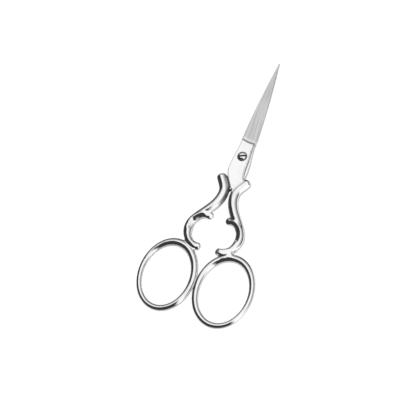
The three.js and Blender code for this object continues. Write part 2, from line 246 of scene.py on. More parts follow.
def rod(points, tangents, half_width, half_depth, first_nose, last_nose, around=72, rounds=14):
    """At each step an oval: cos(turn) times the half width aside, sin(turn) times the half depth up.

    On a nose the oval moves ahead as the sine of a lift and shrinks as its cosine. The lift stops just
    short of a quarter turn, so that the end is a tiny flat face and not a pole.
    """
    lift = np.linspace(0, NOSE_TURN, rounds)
    last = len(points) - 1
    step = np.concatenate([np.zeros(rounds, int), np.arange(last + 1), np.full(rounds, last)])
    still = np.zeros(last + 1)
    ahead = np.concatenate([-first_nose * np.sin(lift[::-1]), still, last_nose * np.sin(lift)])
    slim = np.concatenate([np.cos(lift[::-1]), still + 1, np.cos(lift)])
    turn = np.linspace(0, 2 * np.pi, around, endpoint=False)
    middle = points[step] + tangents[step] * ahead[:, None]
    out = (slim * half_width[step])[:, None] * np.cos(turn)
    x = middle[:, :1] - tangents[step, 1:] * out
    y = middle[:, 1:] + tangents[step, :1] * out
    z = (slim * half_depth[step])[:, None] * np.sin(turn)
    return np.stack([x, y, z], axis=2)


print("rod helper: noses turn in by", np.round(np.degrees(NOSE_TURN), 1), "degrees")

# %% The shank's line
DOWN = np.array([0.0, -1.0])
SHOULDER = np.array([4.45, -7.8])
SHOULDER_HEADING = heading(-121)
NECK = np.array([1.95, -12.8])
SCROLL_CENTRE = np.array([4.1, -26.6])
SCROLL_RADII = np.array([4.75, 5.3])
SCROLL_JOIN = 36
scroll_join = SCROLL_CENTRE + SCROLL_RADII * heading(SCROLL_JOIN)
upper_bend = bend(SHOULDER, SHOULDER_HEADING, NECK, DOWN)
lower_bend = bend(NECK, DOWN, scroll_join, heading(SCROLL_JOIN - 90))
print("shoulder, neck and scroll's join in mm:", SHOULDER, NECK, np.round(scroll_join, 2))

# %% Shank
SHOULDER_WIDTH = 3.3
SHOULDER_NOSE = 0.95
NECK_GAIN = 0.04
SHANK_BELLY = 0.12
HANDLE_DEPTH = 3.2
SHANK_END_DEPTH = 2.6
SCROLL_WIDTH = 3.05
TUCK = 0.14


def shank(rows=320):
    """From the shoulder's blunt end down the neck and out into the scroll, where it tucks in.

    The width goes evenly from place to place, with a belly added as a half sine. The depth is eased.
    """
    to_neck = np.sum(np.linalg.norm(np.diff(upper_bend, axis=0), axis=1))
    points, tangents, distance = walked(np.vstack([upper_bend, lower_bend[1:]]), rows)
    above = np.clip(distance / to_neck, 0, 1)
    below = np.clip((distance - to_neck) / (distance[-1] - to_neck), 0, 1)
    width = SHOULDER_WIDTH + NECK_GAIN * above
    width += (SCROLL_WIDTH - TUCK - width) * below + SHANK_BELLY * np.sin(np.pi * below)
    depth = eased(HANDLE_DEPTH, SHANK_END_DEPTH, below)
    return skin(rod(points, tangents, width / 2, depth / 2, SHOULDER_NOSE, SCROLL_WIDTH / 2))


shank_skin = shank()
print("shank:", len(shank_skin[0]), "corners")

# %% [markdown]
# ## Scroll
# Below the shank hangs a scroll like a letter C, with a knob at each end. On the upper part its inner
# side is pressed to a slope, which leaves a ridge along the middle of the rod. A Boolean cut could make
# the slope. It is quicker, and leaves no seam, to hold the rod's heights under a sloping limit that
# rises clear of the rod towards the tail.

# %% The scroll's bevel
SCROLL_DEPTH = 3.0
BEVEL_RIDGE = 1.36
BEVEL_SLOPE = np.tan(np.radians(28))
BEVEL_FADE = (0, -45)


def bevelled(grid):
    """The inner side cut to a slope: height is at most the ridge's plus slope times the way outwards.

    The way outwards is the mean radius times (the point's radius in the ellipse's own units - 1).
    Between the two fading angles the slope rises clear of the rod.
    """
    out = (grid[..., :2] - SCROLL_CENTRE) / SCROLL_RADII
    way = SCROLL_RADII.mean() * (np.hypot(out[..., 0], out[..., 1]) - 1)
    angle = np.degrees(np.arctan2(out[..., 1], out[..., 0]))
    clear = eased(0, SCROLL_DEPTH, (angle - BEVEL_FADE[0]) / (BEVEL_FADE[1] - BEVEL_FADE[0]))
    top = BEVEL_RIDGE + BEVEL_SLOPE * way + clear
    return np.dstack([grid[..., :2], np.clip(grid[..., 2], -top, top)])


print("bevel: ridge", BEVEL_RIDGE, "mm above the middle plane")

# %% Scroll
UPPER_END = 101
LOWER_END = -96
KNOB_DIAMETER = 2.6
KNOB_DEPTH = 1.5
KNOB_LENGTH = 2.4
UPPER_NOSE = 1.1
LOWER_NOSE = 0.9
SCROLL_NECK_WIDTH = 2.4


def scroll(points_drawn=400, rows=300):
    """An arc of an ellipse with a knob at each end, slim behind the knobs and fullest halfway."""
    line = ellipse(SCROLL_CENTRE, SCROLL_RADII, UPPER_END, LOWER_END, points_drawn)
    points, tangents, distance = walked(line, rows)
    from_end = np.minimum(distance, distance[-1] - distance)
    knob = eased(KNOB_DIAMETER, SCROLL_NECK_WIDTH, from_end / KNOB_LENGTH)
    share = (from_end - KNOB_LENGTH) / (distance[-1] / 2 - KNOB_LENGTH)
    stem = eased(SCROLL_NECK_WIDTH, SCROLL_WIDTH, share)
    width = np.where(from_end < KNOB_LENGTH, knob, stem)
    depth = eased(KNOB_DEPTH, SCROLL_DEPTH, from_end / KNOB_LENGTH)
    return skin(bevelled(rod(points, tangents, width / 2, depth / 2, UPPER_NOSE, LOWER_NOSE)))


scroll_skin = scroll()
print("scroll:", len(scroll_skin[0]), "corners")

# %% [markdown]
# ## Finger ring
# The ring is thick at the top, where it hangs on the scroll, and thin at the outer side. A squeezed
# torus would be equally thick all round. So two ellipses draw it, the ring's outside and the finger
# hole, and an oval section spans from one to the other.

# %% Finger ring
RING_HALF = np.array([9.8, 12.125])
RING_CENTRE = np.array([9.95, -43.275])
HOLE_HALF = np.array([7.75, 9.825])
HOLE_CENTRE = np.array([10.15, -43.625])
RING_ROUNDNESS = 0.92


def finger_ring(steps=420, around=72):
    """Middle of the two ellipses + cos(turn) of half their gap outwards + sin(turn) of it upwards.

    The part upwards is a little less than round, by the roundness.
    """
    way = np.linspace(0, 2 * np.pi, steps, endpoint=False)
    out = np.stack([np.cos(way), np.sin(way)], axis=1)
    outer = RING_CENTRE + RING_HALF * out
    inner = HOLE_CENTRE + HOLE_HALF * out
    turn = np.linspace(0, 2 * np.pi, around, endpoint=False)
    flat = (outer + inner)[:, None] / 2 + (outer - inner)[:, None] / 2 * np.cos(turn)[None, :, None]
    half_gap = np.linalg.norm(outer - inner, axis=1)[:, None] / 2
    height = RING_ROUNDNESS * half_gap * np.sin(turn)
    return skin(np.dstack([flat, height]), ring=True)


ring_skin = finger_ring()
print("finger ring:", len(ring_skin[0]), "corners")

# %% [markdown]
# ## Crossing plate
# At the pivot each half is a flat plate of half the thickness, so that the two lap. Its outline is a row
# of bends and straight lines. Above, it ends at the blade's root, a slanting and slightly hollow line
# where the grinding wheel ran out. The outer edge is broken to a small round. An extruded curve with a
# bevel would do, but here the same outline, grown by a margin, also draws the room that the other half
# needs.

# %% The plate's outline
UP = -DOWN
PLATE_TOP = 5.3
PLATE_BACK = -2.15
PLATE_HEEL = 2.0
ROOT_SLANT = 0.19
ROOT_SAG = 0.2
HIP = np.array([-3.05, -4.4])
CROSSING = np.array([0.0, -10.9])
CROSSING_HEADING = heading(-56.5)
ARMPIT = SHOULDER + np.array([-1.65, 0.825])
ARMPIT_HEADING = heading(112)
WAIST = np.array([2.15, -1.5])


def root_line(x):
    """Height of the blade's root: a slanting line that sags by a parabola between the plate's edges."""
    return PLATE_TOP - ROOT_SLANT * x - ROOT_SAG * (1 - (x / PLATE_BACK) ** 2)


def plate_outline(grow, in_bend=60, on_top=40):
    """Anticlockwise from the root's back: two bends, three corners, two bends and the root line.

    Each point is moved outwards by a margin.
    """
    aside = np.array([grow, 0.0])
    root = np.array([PLATE_BACK - grow, root_line(PLATE_BACK) + grow])
    hip = HIP - aside
    lap = CROSSING + np.array([CROSSING_HEADING[1], -CROSSING_HEADING[0]]) * grow
    foot = lap + CROSSING_HEADING * NECK[0] / CROSSING_HEADING[0]
    armpit = ARMPIT + aside
    waist = WAIST + aside
    heel = np.array([PLATE_HEEL + grow, root_line(PLATE_HEEL) + grow])
    across = np.linspace(heel[0], root[0], on_top)
    top = np.stack([across, root_line(np.clip(across, PLATE_BACK, PLATE_HEEL)) + grow], axis=1)
    runs = [
        bend(root, DOWN, hip, DOWN, in_bend),
        bend(hip, DOWN, lap, CROSSING_HEADING, in_bend)[1:],
        foot[None],
        SHOULDER[None],
        armpit[None],
        bend(armpit, ARMPIT_HEADING, waist, UP, in_bend)[1:],
        bend(waist, UP, heel, UP, in_bend)[1:],
        top[1:-1],
    ]
    return np.vstack(runs)


print("plate:", np.round(np.ptp(plate_outline(0.0), axis=0), 2), "mm wide and high")

# %% Crossing plate
FACE_INNER = 0.06
FACE_OUTER = 1.41
PLATE_EDGE = 0.14
STOP_GAP = 0.3


def levels(outlines, heights):
    """The outlines one above another, as a closed wall with a floor and a lid."""
    rows = [np.column_stack([line, np.full(len(line), z)]) for line, z in zip(outlines, heights)]
    return skin(np.array(rows))


def crossing_plate(in_round=7):
    """Straight wall, then a quarter round of the edge's size, then the flat outer face."""
    lift = np.linspace(0, np.pi / 2, in_round)
    insets = [0.0] + (PLATE_EDGE * (1 - np.cos(lift))).tolist()
    heights = [FACE_INNER] + (FACE_OUTER - PLATE_EDGE + PLATE_EDGE * np.sin(lift)).tolist()
    return levels([plate_outline(-inset) for inset in insets], heights)


plate_skin = crossing_plate()
room = plate_outline(STOP_GAP)[::-1] * np.array([-1.0, 1.0])
room_skin = levels([room, room], [-HANDLE_DEPTH, FACE_INNER])
print("crossing plate:", len(plate_skin[0]), "corners")

# %% [markdown]
# ## Crooks and set
# Where the curl leaves the shank, and where the scroll's tail lies on the ring, the dies leave narrow
# crooks half filled with steel. They could be sculpted, but a flat fill in each is enough to keep them
# from being deep black gaps. The tail's fill is low on the inner face and nearly full on the outer one,
# where the tail is flattened as well. Then the whole handle is set: below the shank it bends gently, so
# that the ring lies on its own half's side.

# %% Crooks
CURL_ARC = (80, 50)
CURL_FACES = (-1.0, 1.0)
BESIDE_CURL = slice(106, 78, -1)
RING_REACH = 95
TAIL_REACH = -40
INNER_START = (128, -92)
INNER_FACES = (-0.75, 0.6)
OUTER_START = (120, -85)
OUTER_FACES = (0.0, 1.26)
ARC_POINTS = 20


def crook(outline, faces):
    """A flat fill of the crook's outline between its two faces' heights."""
    return levels([outline, outline], faces)


def tail_crook(ring_angle, scroll_angle, faces):
    """The fill between the middle of the ring's band and the tail, from two angles to its right end."""
    outer = ellipse(RING_CENTRE, RING_HALF, ring_angle, RING_REACH, ARC_POINTS)
    inner = ellipse(HOLE_CENTRE, HOLE_HALF, ring_angle, RING_REACH, ARC_POINTS)
    tail = ellipse(SCROLL_CENTRE, SCROLL_RADII, TAIL_REACH, scroll_angle, ARC_POINTS)
    return crook(np.vstack([(outer + inner) / 2, tail]), faces)


curl_line = ellipse(SCROLL_CENTRE, SCROLL_RADII, *CURL_ARC, ARC_POINTS)
curl_crook = crook(np.vstack([lower_bend[BESIDE_CURL], curl_line]), CURL_FACES)
inner_crook = tail_crook(*INNER_START, INNER_FACES)
outer_crook = tail_crook(*OUTER_START, OUTER_FACES)
print("fills:", CURL_FACES, INNER_FACES, OUTER_FACES, "mm")

# %% Flattened tail
TAIL_ARC = (-93, -50)
TAIL_FACES = (0.0, 1.45)
TAIL_UNDER = 1.1
TAIL_ABOVE = 1.0


def tail_flat(count=30):
    """A flat pad on the tail: an arc outside the scroll's line, and back along an arc inside it."""
    first, last = TAIL_ARC
    under = ellipse(SCROLL_CENTRE, SCROLL_RADII + TAIL_UNDER, first, last, count)
    above = ellipse(SCROLL_CENTRE, SCROLL_RADII - TAIL_ABOVE, last, first, count)
    return crook(np.vstack([under, above]), TAIL_FACES)


fills = (curl_crook, inner_crook, outer_crook, tail_flat())
print("pad on the tail:", TAIL_UNDER + TAIL_ABOVE, "mm wide")

# %% Set of the ring
RING_SET = 0.7
SET_START = -20
SET_END = -36


def set_out(y):
    """How far the handle is set out at a place down its length, eased between two places."""
    return eased(0, RING_SET, (y - SET_START) / (SET_END - SET_START))


def bent_out(shape):
    """Each corner's height grows by the set at its place."""
    corners, faces = shape
    return corners + set_out(corners[:, 1])[:, None] * np.array([0, 0, 1]), faces


handle_forms = bent_out(joined(shank_skin, scroll_skin, ring_skin, *fills))
print("ring set out by", RING_SET, "mm")

# %% [markdown]
# ## Facets on the knobs
# The dies pinch the scroll's two ends, so that a knob has a slanting face that looks out along the
# scroll: the upper one on both sides, the lower one only on the inner side. On a mirror finish such a
# face takes one tone all over, and the knob reads as a bead. Flattening the grid would smear the knob,
# so each face is cut by a block whose underside is the slanting plane.

# %% Facets on the knobs
FACET_SLOPE = np.tan(np.radians(25))
FACET_HEADING = heading(205)
FACET_BEHIND = -2.2
FACET_AHEAD = 2.0
FACET_HALF_WIDTH = 1.6
FACET_LID = 4.0
KNOB_FACETS = ((UPPER_END, 0.72, 1), (UPPER_END, 0.72, -1), (LOWER_END, 0.98, -1))


def facet(angle, height, side):
    """A block whose underside falls by the slope along the heading. Side is 1 or -1."""
    place = SCROLL_CENTRE + SCROLL_RADII * heading(angle)
    ahead = np.array([FACET_BEHIND, FACET_AHEAD, FACET_AHEAD, FACET_BEHIND])
    aside = np.array([-1, -1, 1, 1]) * FACET_HALF_WIDTH
    across = np.array([-FACET_HEADING[1], FACET_HEADING[0]])
    flat = place + ahead[:, None] * FACET_HEADING + aside[:, None] * across
    low = height - FACET_SLOPE * ahead
    rows = [np.column_stack([flat, side * z]) for z in (low, np.full(4, FACET_LID))]
    corners, faces = skin(np.array(rows))
    return corners + np.array([0, 0, set_out(place[1])]), faces


facets = [facet(*knob) for knob in KNOB_FACETS]
print("knob facets:", len(facets))

# %% [markdown]
# ## One forging
# Shank, scroll, ring and plate overlap. On the real scissors they are one piece of steel whose joins
# are rounded by years of die wear and by the polishing wheel. A Boolean join would leave hard creases
# and long thin triangles, which a mirror finish shows at once. So the forms are melted together
# into one skin of voxels, little more than a tenth of a millimetre each, and smoothed a little. The
# room for the other half's plate is cut in between. The crease at the shoulder and the flattened tail
# are smoothed once more, and the screw's hole comes last, so that its rim stays sharp.

# %% Melting the handle
VOXEL = 0.115
ROD_ROUNDS = 38
PLATE_ROUNDS = 8
handle_rods = melted(handle_forms, VOXEL, ROD_ROUNDS)
for facet_skin in facets:
    handle_rods = cut(handle_rods, facet_skin)
handle_lapped = cut(handle_rods, room_skin)
handle_melt = melted(joined(handle_lapped, plate_skin), VOXEL, PLATE_ROUNDS)
print("handle:", len(handle_melt[1]), "faces after melting")

# %% Softening two places
CREASE_ASIDE = (0.3, 2.2)
CREASE_AHEAD = (-0.6, 4.6)
TAIL_X = (3.4, 9.8)
TAIL_Y = (-33.4, -29.6)
OUTER_SIDE = 1.0
SOFT_ROUNDS = 60


def between(values, limits):
    """Which values lie between two limits."""
    return (values > limits[0]) & (values < limits[1])


def near_shoulder(corners):
    """Which corners lie near the line where the outer face of the plate runs into the shoulder."""
    from_shoulder = corners[:, :2] - SHOULDER
    aside = from_shoulder @ np.array([SHOULDER_HEADING[1], -SHOULDER_HEADING[0]])
    ahead = from_shoulder @ SHOULDER_HEADING
    return between(aside, CREASE_ASIDE) & between(ahead, CREASE_AHEAD) & (corners[:, 2] > OUTER_SIDE)


def near_tail(corners):
    """Which corners lie on the filled face between the scroll's tail and the ring."""
    x, y, z = corners.T
    return between(x, TAIL_X) & between(y, TAIL_Y) & (z > OUTER_SIDE)


soft_places = near_shoulder(handle_melt[0]) | near_tail(handle_melt[0])
handle_skin = softened(handle_melt, soft_places, SOFT_ROUNDS)
print("softened:", np.count_nonzero(soft_places), "corners")

# %% The hole for the screw
SCREW_BORE = 2.2
SCREW_TAPPED = 1.88
DRILL_REACH = (-1.0, 3.0)


def round_bar(diameter, low, high, sides=64):
    """A straight round bar from one height to another: a circle on two levels."""
    turn = np.linspace(0, 2 * np.pi, sides, endpoint=False)
    circle = np.stack([np.cos(turn), np.sin(turn)], axis=1) * diameter / 2
    return levels([circle, circle], [low, high])


front_handle_skin = cut(handle_skin, round_bar(SCREW_BORE, *DRILL_REACH))
back_handle_skin = cut(handle_skin, round_bar(SCREW_TAPPED, *DRILL_REACH))
print("handles with holes:", len(front_handle_skin[1]), len(back_handle_skin[1]), "faces")

# %% [markdown]
# ## Pieces in the frame
# The back half is the front half turned over about its long axis. The turn is put into the mesh, and
# not into the object, because a finished piece sits at the origin. Smooth shading is right everywhere
# but across true edges, which are found by their angle.

# %% From the forging's frame to the model's
MIDDLE_PLANE = 1.41
SHARP_ANGLE = 32


def front_place(corners):
    """The front half lies above the middle plane."""
    return corners + np.array([0, 0, MIDDLE_PLANE])


def back_place(corners):
    """The back half is turned by half a turn about its long axis: x and z change their signs."""
    return corners * np.array([-1, 1, -1]) + np.array([0, 0, MIDDLE_PLANE])


def piece(name, shape, place, material, **marks):
    """A finished mesh in metres, smooth but for its true edges. Marks are kept at its corners."""
    corners, faces = shape
    mesh = bpy.data.meshes.new(name)
    mesh.from_pydata((place(corners) * MM).tolist(), [], faces)
    mesh.shade_smooth()
    mesh.set_sharp_from_angle(angle=np.radians(SHARP_ANGLE))
    mesh.materials.append(material)
    for label, values in marks.items():
        kind, field = ("FLOAT", "value") if values.ndim == 1 else ("FLOAT_VECTOR", "vector")
        mark = mesh.attributes.new(label, kind, "POINT")
        mark.data.foreach_set(field, values.astype(np.float32).ravel())
    made = bpy.data.objects.new(name, mesh)
    scene.collection.objects.link(made)
    return made


print("halves meet at", MIDDLE_PLANE, "mm above the back face")

# %% [markdown]
# ## Node helpers
# Finishes are node trees. Written out link by link they are long and hard to follow, so a few helpers
# make a node, feed its input with a link or a plain value, and give back its output.


# %% Nodes and arithmetic
def node(tree, kind, **fields):
    """A new shader node with its own fields set, such as operation."""
    made = tree.nodes.new("ShaderNode" + kind)
    for field, value in fields.items():
        setattr(made, field, value)
    return made


def feed(tree, socket, value):
    """An output is linked to the socket, and a plain value is written on it."""
    if isinstance(value, bpy.types.NodeSocket):
        tree.links.new(value, socket)
    else:
        socket.default_value = value


def figure(tree, operation, first, second=0.0):
    """One step of arithmetic on two numbers."""
    step = node(tree, "Math", operation=operation)
    feed(tree, step.inputs[0], first)
    feed(tree, step.inputs[1], second)
    return step.outputs["Value"]


def ramp(tree, value, start, end, low=0.0, high=1.0):
    """A smooth change from low to high while the value runs from start to end."""
    step = node(tree, "MapRange", interpolation_type="SMOOTHSTEP")
    labels = ("Value", "From Min", "From Max", "To Min", "To Max")
    for label, number in zip(labels, (value, start, end, low, high)):
        feed(tree, step.inputs[label], number)
    return step.outputs["Result"]


print("node helpers: node, feed, figure, ramp")


# %% Colours, noise and groups
def blended(tree, share, first, second):
    """Between two colours by a share from 0 to 1."""
    mix = node(tree, "Mix", data_type="RGBA")
    feed(tree, mix.inputs["Factor"], share)
    feed(tree, mix.inputs["A"], first)
    feed(tree, mix.inputs["B"], second)
    return mix.outputs["Result"]


def clouds(tree, vector, scale, detail=2.0, stretch=(1, 1, 1), turn=0.0):
    """Soft noise from 0 to 1 on a vector that is first turned about Z and then stretched."""
    lay = node(tree, "Mapping", vector_type="TEXTURE")
    feed(tree, lay.inputs["Vector"], vector)
    lay.inputs["Rotation"].default_value = (0, 0, np.radians(turn))
    lay.inputs["Scale"].default_value = stretch
    grain = node(tree, "TexNoise")
    feed(tree, grain.inputs["Vector"], lay.outputs["Vector"])
    grain.inputs["Scale"].default_value = scale
    grain.inputs["Detail"].default_value = detail
    return grain.outputs["Fac"]


def new_group(name, inputs, outputs):
    """An empty node group with named sockets, its inlet's sockets by name, and its outlet."""
    group = bpy.data.node_groups.new(name, "ShaderNodeTree")
    for label, kind in inputs:
        group.interface.new_socket(name=label, in_out="INPUT", socket_type="NodeSocket" + kind)
    for label, kind in outputs:
        group.interface.new_socket(name=label, in_out="OUTPUT", socket_type="NodeSocket" + kind)
    inlet = group.nodes.new("NodeGroupInput")
    outlet = group.nodes.new("NodeGroupOutput")
    return group, inlet.outputs, outlet.inputs


def placed(tree, group, **feeds):
    """A group's node in a material, with its inputs fed. Its outputs come back."""
    made = node(tree, "Group", node_tree=group)
    for label, value in feeds.items():
        feed(tree, made.inputs[label], value)
    return made.outputs


print("finish helpers: blended, clouds, new_group, placed")

# %% [markdown]
# ## Polish marks
# A polished handle is not a perfect mirror. The buffing wheel leaves long faint waves, fingers leave
# smudges that are a little duller, and the sewing box leaves hair scratches in all directions. A painted
# map would need the forging unwrapped. One group gives all three from Object coordinates, which are in
# metres, so that they stay on the steel when it moves.

# %% Polish marks
PLAIN_DETAIL = 1.0
SMUDGE_SCALE = 230
SMUDGE_DETAIL = 3.0
SMUDGE_LIMITS = (0.45, 0.75)
HAIR_TURNS = (17, 68, 131)
HAIR_SCALE = 16000
HAIR_STRETCH = (1, 60, 60)
HAIR_LIMITS = (0.68, 0.76)
PATCH_SCALE = 420
PATCH_LIMITS = (0.5, 0.62)
WAVE_SCALE = 330
GROOVE_SHARE = 0.04
polish_marks, marks_in, marks_out = new_group(
    "polish_marks",
    [("Vector", "Vector")],
    [("Smudge", "Float"), ("Scratch", "Float"), ("Height", "Float")],
)
greasy = clouds(polish_marks, marks_in["Vector"], SMUDGE_SCALE, SMUDGE_DETAIL)
feed(polish_marks, marks_out["Smudge"], ramp(polish_marks, greasy, *SMUDGE_LIMITS))
hairs = 0.0
for turn in HAIR_TURNS:
    hair = clouds(polish_marks, marks_in["Vector"], HAIR_SCALE, PLAIN_DETAIL, HAIR_STRETCH, turn)
    patch = clouds(polish_marks, marks_in["Vector"], PATCH_SCALE + turn, PLAIN_DETAIL)
    thin = ramp(polish_marks, hair, *HAIR_LIMITS)
    line = figure(polish_marks, "MULTIPLY", thin, ramp(polish_marks, patch, *PATCH_LIMITS))
    hairs = figure(polish_marks, "MAXIMUM", hairs, line)
feed(polish_marks, marks_out["Scratch"], hairs)
waves = clouds(polish_marks, marks_in["Vector"], WAVE_SCALE, PLAIN_DETAIL)
grooves = figure(polish_marks, "MULTIPLY", hairs, GROOVE_SHARE)
feed(polish_marks, marks_out["Height"], figure(polish_marks, "SUBTRACT", waves, grooves))
print("group:", polish_marks.name)

# %% [markdown]
# ## Painted shade
# Some dark places on the steel are painted shade: round the screw's head, in its slot, in the corner
# between the two plates, along the blade's root, and a painted dark reflection between the shanks. It is
# dark, dull and no metal. It could be a second material, but then every border would be hard, so one
# group turns a mask into a colour, a metallic share and a roughness.

# %% Oil residue
SHADE_COLOUR = (0.03, 0.028, 0.026, 1)
SHADE_METALLIC = 0.1
SHADE_DULLING = 0.5
SHADE_NOISE_SCALE = 2600
SHADE_THIN = 0.7
SHADE_PATCHES = (0.25, 0.6)
oil_residue, painted_in, painted_out = new_group(
    "oil_residue",
    [("Vector", "Vector"), ("Mask", "Float"), ("Steel", "Color"), ("Gloss", "Float")],
    [("Colour", "Color"), ("Metallic", "Float"), ("Roughness", "Float")],
)
# Noise breaks the painted shade into patches; where it lies, the steel turns dark, less metallic and
# duller.
shade_noise = clouds(oil_residue, painted_in["Vector"], SHADE_NOISE_SCALE)
patchy = ramp(oil_residue, shade_noise, *SHADE_PATCHES, SHADE_THIN, 1.0)
shaded = figure(oil_residue, "MULTIPLY", painted_in["Mask"], patchy)
feed(oil_residue, painted_out["Colour"], blended(oil_residue, shaded, painted_in["Steel"], SHADE_COLOUR))
feed(oil_residue, painted_out["Metallic"], ramp(oil_residue, shaded, 0.0, 1.0, 1.0, SHADE_METALLIC))
dull = figure(oil_residue, "MULTIPLY", shaded, SHADE_DULLING)
feed(oil_residue, painted_out["Roughness"], figure(oil_residue, "ADD", painted_in["Gloss"], dull))
print("group:", oil_residue.name)

# %% [markdown]
# ## Grinding grain
# A grinding belt runs along the blade and a lathe tool runs round the screw. Both leave fine lines that
# are short across and long along. Anisotropic gloss would show their sheen, but not the lines. The group
# takes those two distances in millimetres, and each piece says what they are on it: across and along
# the blade, or outwards and round the screw.

# %% Grinding grain
FINE_SCALE = 7.0
FINE_DETAIL = 3.0
FINE_STRETCH = (1, 55, 1)
FINE_SHARE = 0.4
BROAD_SCALE = 1.5
BROAD_STRETCH = (1, 22, 1)
BROAD_SHARE = 0.6
GRAIN_LIMITS = (0.32, 0.68)
grind_grain, grind_in, grind_out = new_group(
    "grind_grain", [("Across", "Float"), ("Along", "Float")], [("Shade", "Float"), ("Height", "Float")]
)
lay = node(grind_grain, "CombineXYZ")
feed(grind_grain, lay.inputs["X"], grind_in["Across"])
feed(grind_grain, lay.inputs["Y"], grind_in["Along"])
fine = clouds(grind_grain, lay.outputs["Vector"], FINE_SCALE, FINE_DETAIL, FINE_STRETCH)
broad = clouds(grind_grain, lay.outputs["Vector"], BROAD_SCALE, PLAIN_DETAIL, BROAD_STRETCH)
broad_part = figure(grind_grain, "MULTIPLY", broad, BROAD_SHARE)
fine_part = figure(grind_grain, "MULTIPLY", fine, FINE_SHARE)
lines = figure(grind_grain, "ADD", broad_part, fine_part)
feed(grind_grain, grind_out["Shade"], ramp(grind_grain, lines, *GRAIN_LIMITS))
feed(grind_grain, grind_out["Height"], fine)
print("group:", grind_grain.name)

# %% [markdown]
# ## Three steels
# The handles are polished, the blades are ground to satin, and the screw is turned and then polished.
# All are plain steel, so the colours are nearly one grey, and one material could serve for all. But the
# finishes differ in roughness and marks, so each is a material of its own with the same groups in it.

# %% What the steels share
SMUDGE_DULLING = 0.05
SCRATCH_DULLING = 0.16


def steel(name):
    """A new material: its tree, its shader's inputs and its Object coordinates."""
    material = bpy.data.materials.new(name)
    material.use_nodes = True
    tree = material.node_tree
    place = node(tree, "TexCoord").outputs["Object"]
    return material, tree, tree.nodes["Principled BSDF"].inputs, place


def finished(tree, shader, residue, height, reach):
    """The painted-shade group's three outputs and a bump of a given reach, in metres, go into the shader.
    """
    feed(tree, shader["Base Color"], residue["Colour"])
    feed(tree, shader["Metallic"], residue["Metallic"])
    feed(tree, shader["Roughness"], residue["Roughness"])
    bump = node(tree, "Bump")
    bump.inputs["Distance"].default_value = reach
    feed(tree, bump.inputs["Height"], height)
    feed(tree, shader["Normal"], bump.outputs["Normal"])


def gloss(tree, marks, clean):
    """Roughness of polished steel: the clean value, more on a smudge and most in a scratch."""
    smudged = figure(tree, "MULTIPLY", marks["Smudge"], SMUDGE_DULLING)
    scratched = figure(tree, "MULTIPLY", marks["Scratch"], SCRATCH_DULLING)
    return figure(tree, "ADD", figure(tree, "ADD", clean, smudged), scratched)


print("steel helpers: steel, finished, gloss")

# %% Mirror steel of the handles
MIRROR_CLEAN = (0.87, 0.87, 0.875, 1)
MIRROR_SMUDGED = (0.82, 0.82, 0.83, 1)
MIRROR_ROUGHNESS = 0.05
MIRROR_BUMP = 1.2e-5
mirror_steel, tree, shader, place = steel("mirror_steel")
marks = placed(tree, polish_marks, Vector=place)
tone = blended(tree, marks["Smudge"], MIRROR_CLEAN, MIRROR_SMUDGED)
# Each handle corner carries a mask of painted shade: in the plates' corner, round the screw's head, and a
# dark reflection between the shanks.
shade_mask = node(tree, "Attribute", attribute_name="residue").outputs["Fac"]
shine = gloss(tree, marks, MIRROR_ROUGHNESS)
residue = placed(tree, oil_residue, Vector=place, Mask=shade_mask, Steel=tone, Gloss=shine)
finished(tree, shader, residue, marks["Height"], MIRROR_BUMP)
print("steel:", mirror_steel.name)

# %% Satin steel of the blades
SATIN_DARK = (0.62, 0.62, 0.625, 1)
SATIN_LIGHT = (0.78, 0.78, 0.78, 1)
SATIN_ROUGHNESS = (0.46, 0.38)
SATIN_BUMP = 4e-6
RUNOUT_HIGHLIGHT = (0.95, 0.95, 0.95, 1)
HIGHLIGHT_START = (0.3, 0.5)
HIGHLIGHT_END = (1.5, 0.9)
BACK_HIGHLIGHT = (0.93, 0.93, 0.93, 1)
BACK_FADE = (1.1, 0.0)
BACK_SHARE = 0.7
satin_steel, tree, shader, place = steel("satin_steel")
ground = node(tree, "SeparateXYZ")
feed(tree, ground.inputs["Vector"], node(tree, "Attribute", attribute_name="grind").outputs["Vector"])
across, along, root_painted_shade = ground.outputs
grain = placed(tree, grind_grain, Across=across, Along=along)
tone = blended(tree, grain["Shade"], SATIN_DARK, SATIN_LIGHT)
# Painted highlight: a lighter strip along the wheel's run-out just past the root.
runout_highlight = figure(tree, "MULTIPLY", ramp(tree, along, *HIGHLIGHT_START), ramp(tree, along, *HIGHLIGHT_END))
tone = blended(tree, runout_highlight, tone, RUNOUT_HIGHLIGHT)
# Painted highlight: the blade grows lighter towards its rounded back.
back_highlight = ramp(tree, across, *BACK_FADE, 0.0, BACK_SHARE)
tone = blended(tree, back_highlight, tone, BACK_HIGHLIGHT)
satin = ramp(tree, grain["Shade"], 0.0, 1.0, *SATIN_ROUGHNESS)
# The third grind value is painted shade along the blade's root, where it meets the plate.
residue = placed(tree, oil_residue, Vector=place, Mask=root_painted_shade, Steel=tone, Gloss=satin)
finished(tree, shader, residue, grain["Height"], SATIN_BUMP)
print("steel:", satin_steel.name)

# %% Turned steel of the screw
SLOT_TURN = 18
SCREW_DARK = (0.78, 0.78, 0.785, 1)
SCREW_LIGHT = (0.86, 0.86, 0.865, 1)
SCREW_ROUGHNESS = 0.12
SCREW_BUMP = 2e-6
LATHE_FEED = 3.0
SLOT_SHADE = (0.31, 0.27)
RIM_SHADE = (1.24, 1.4)
screw_steel, tree, shader, place = steel("screw_steel")
marks = placed(tree, polish_marks, Vector=place)
turned = node(tree, "Mapping")
feed(tree, turned.inputs["Vector"], place)
turned.inputs["Rotation"].default_value = (0, 0, np.radians(-SLOT_TURN))
turned.inputs["Scale"].default_value = (1 / MM, 1 / MM, 1 / MM)
spot = node(tree, "SeparateXYZ")
feed(tree, spot.inputs["Vector"], turned.outputs["Vector"])
squares = [figure(tree, "MULTIPLY", spot.outputs[k], spot.outputs[k]) for k in "XY"]
radius = figure(tree, "SQRT", figure(tree, "ADD", *squares))
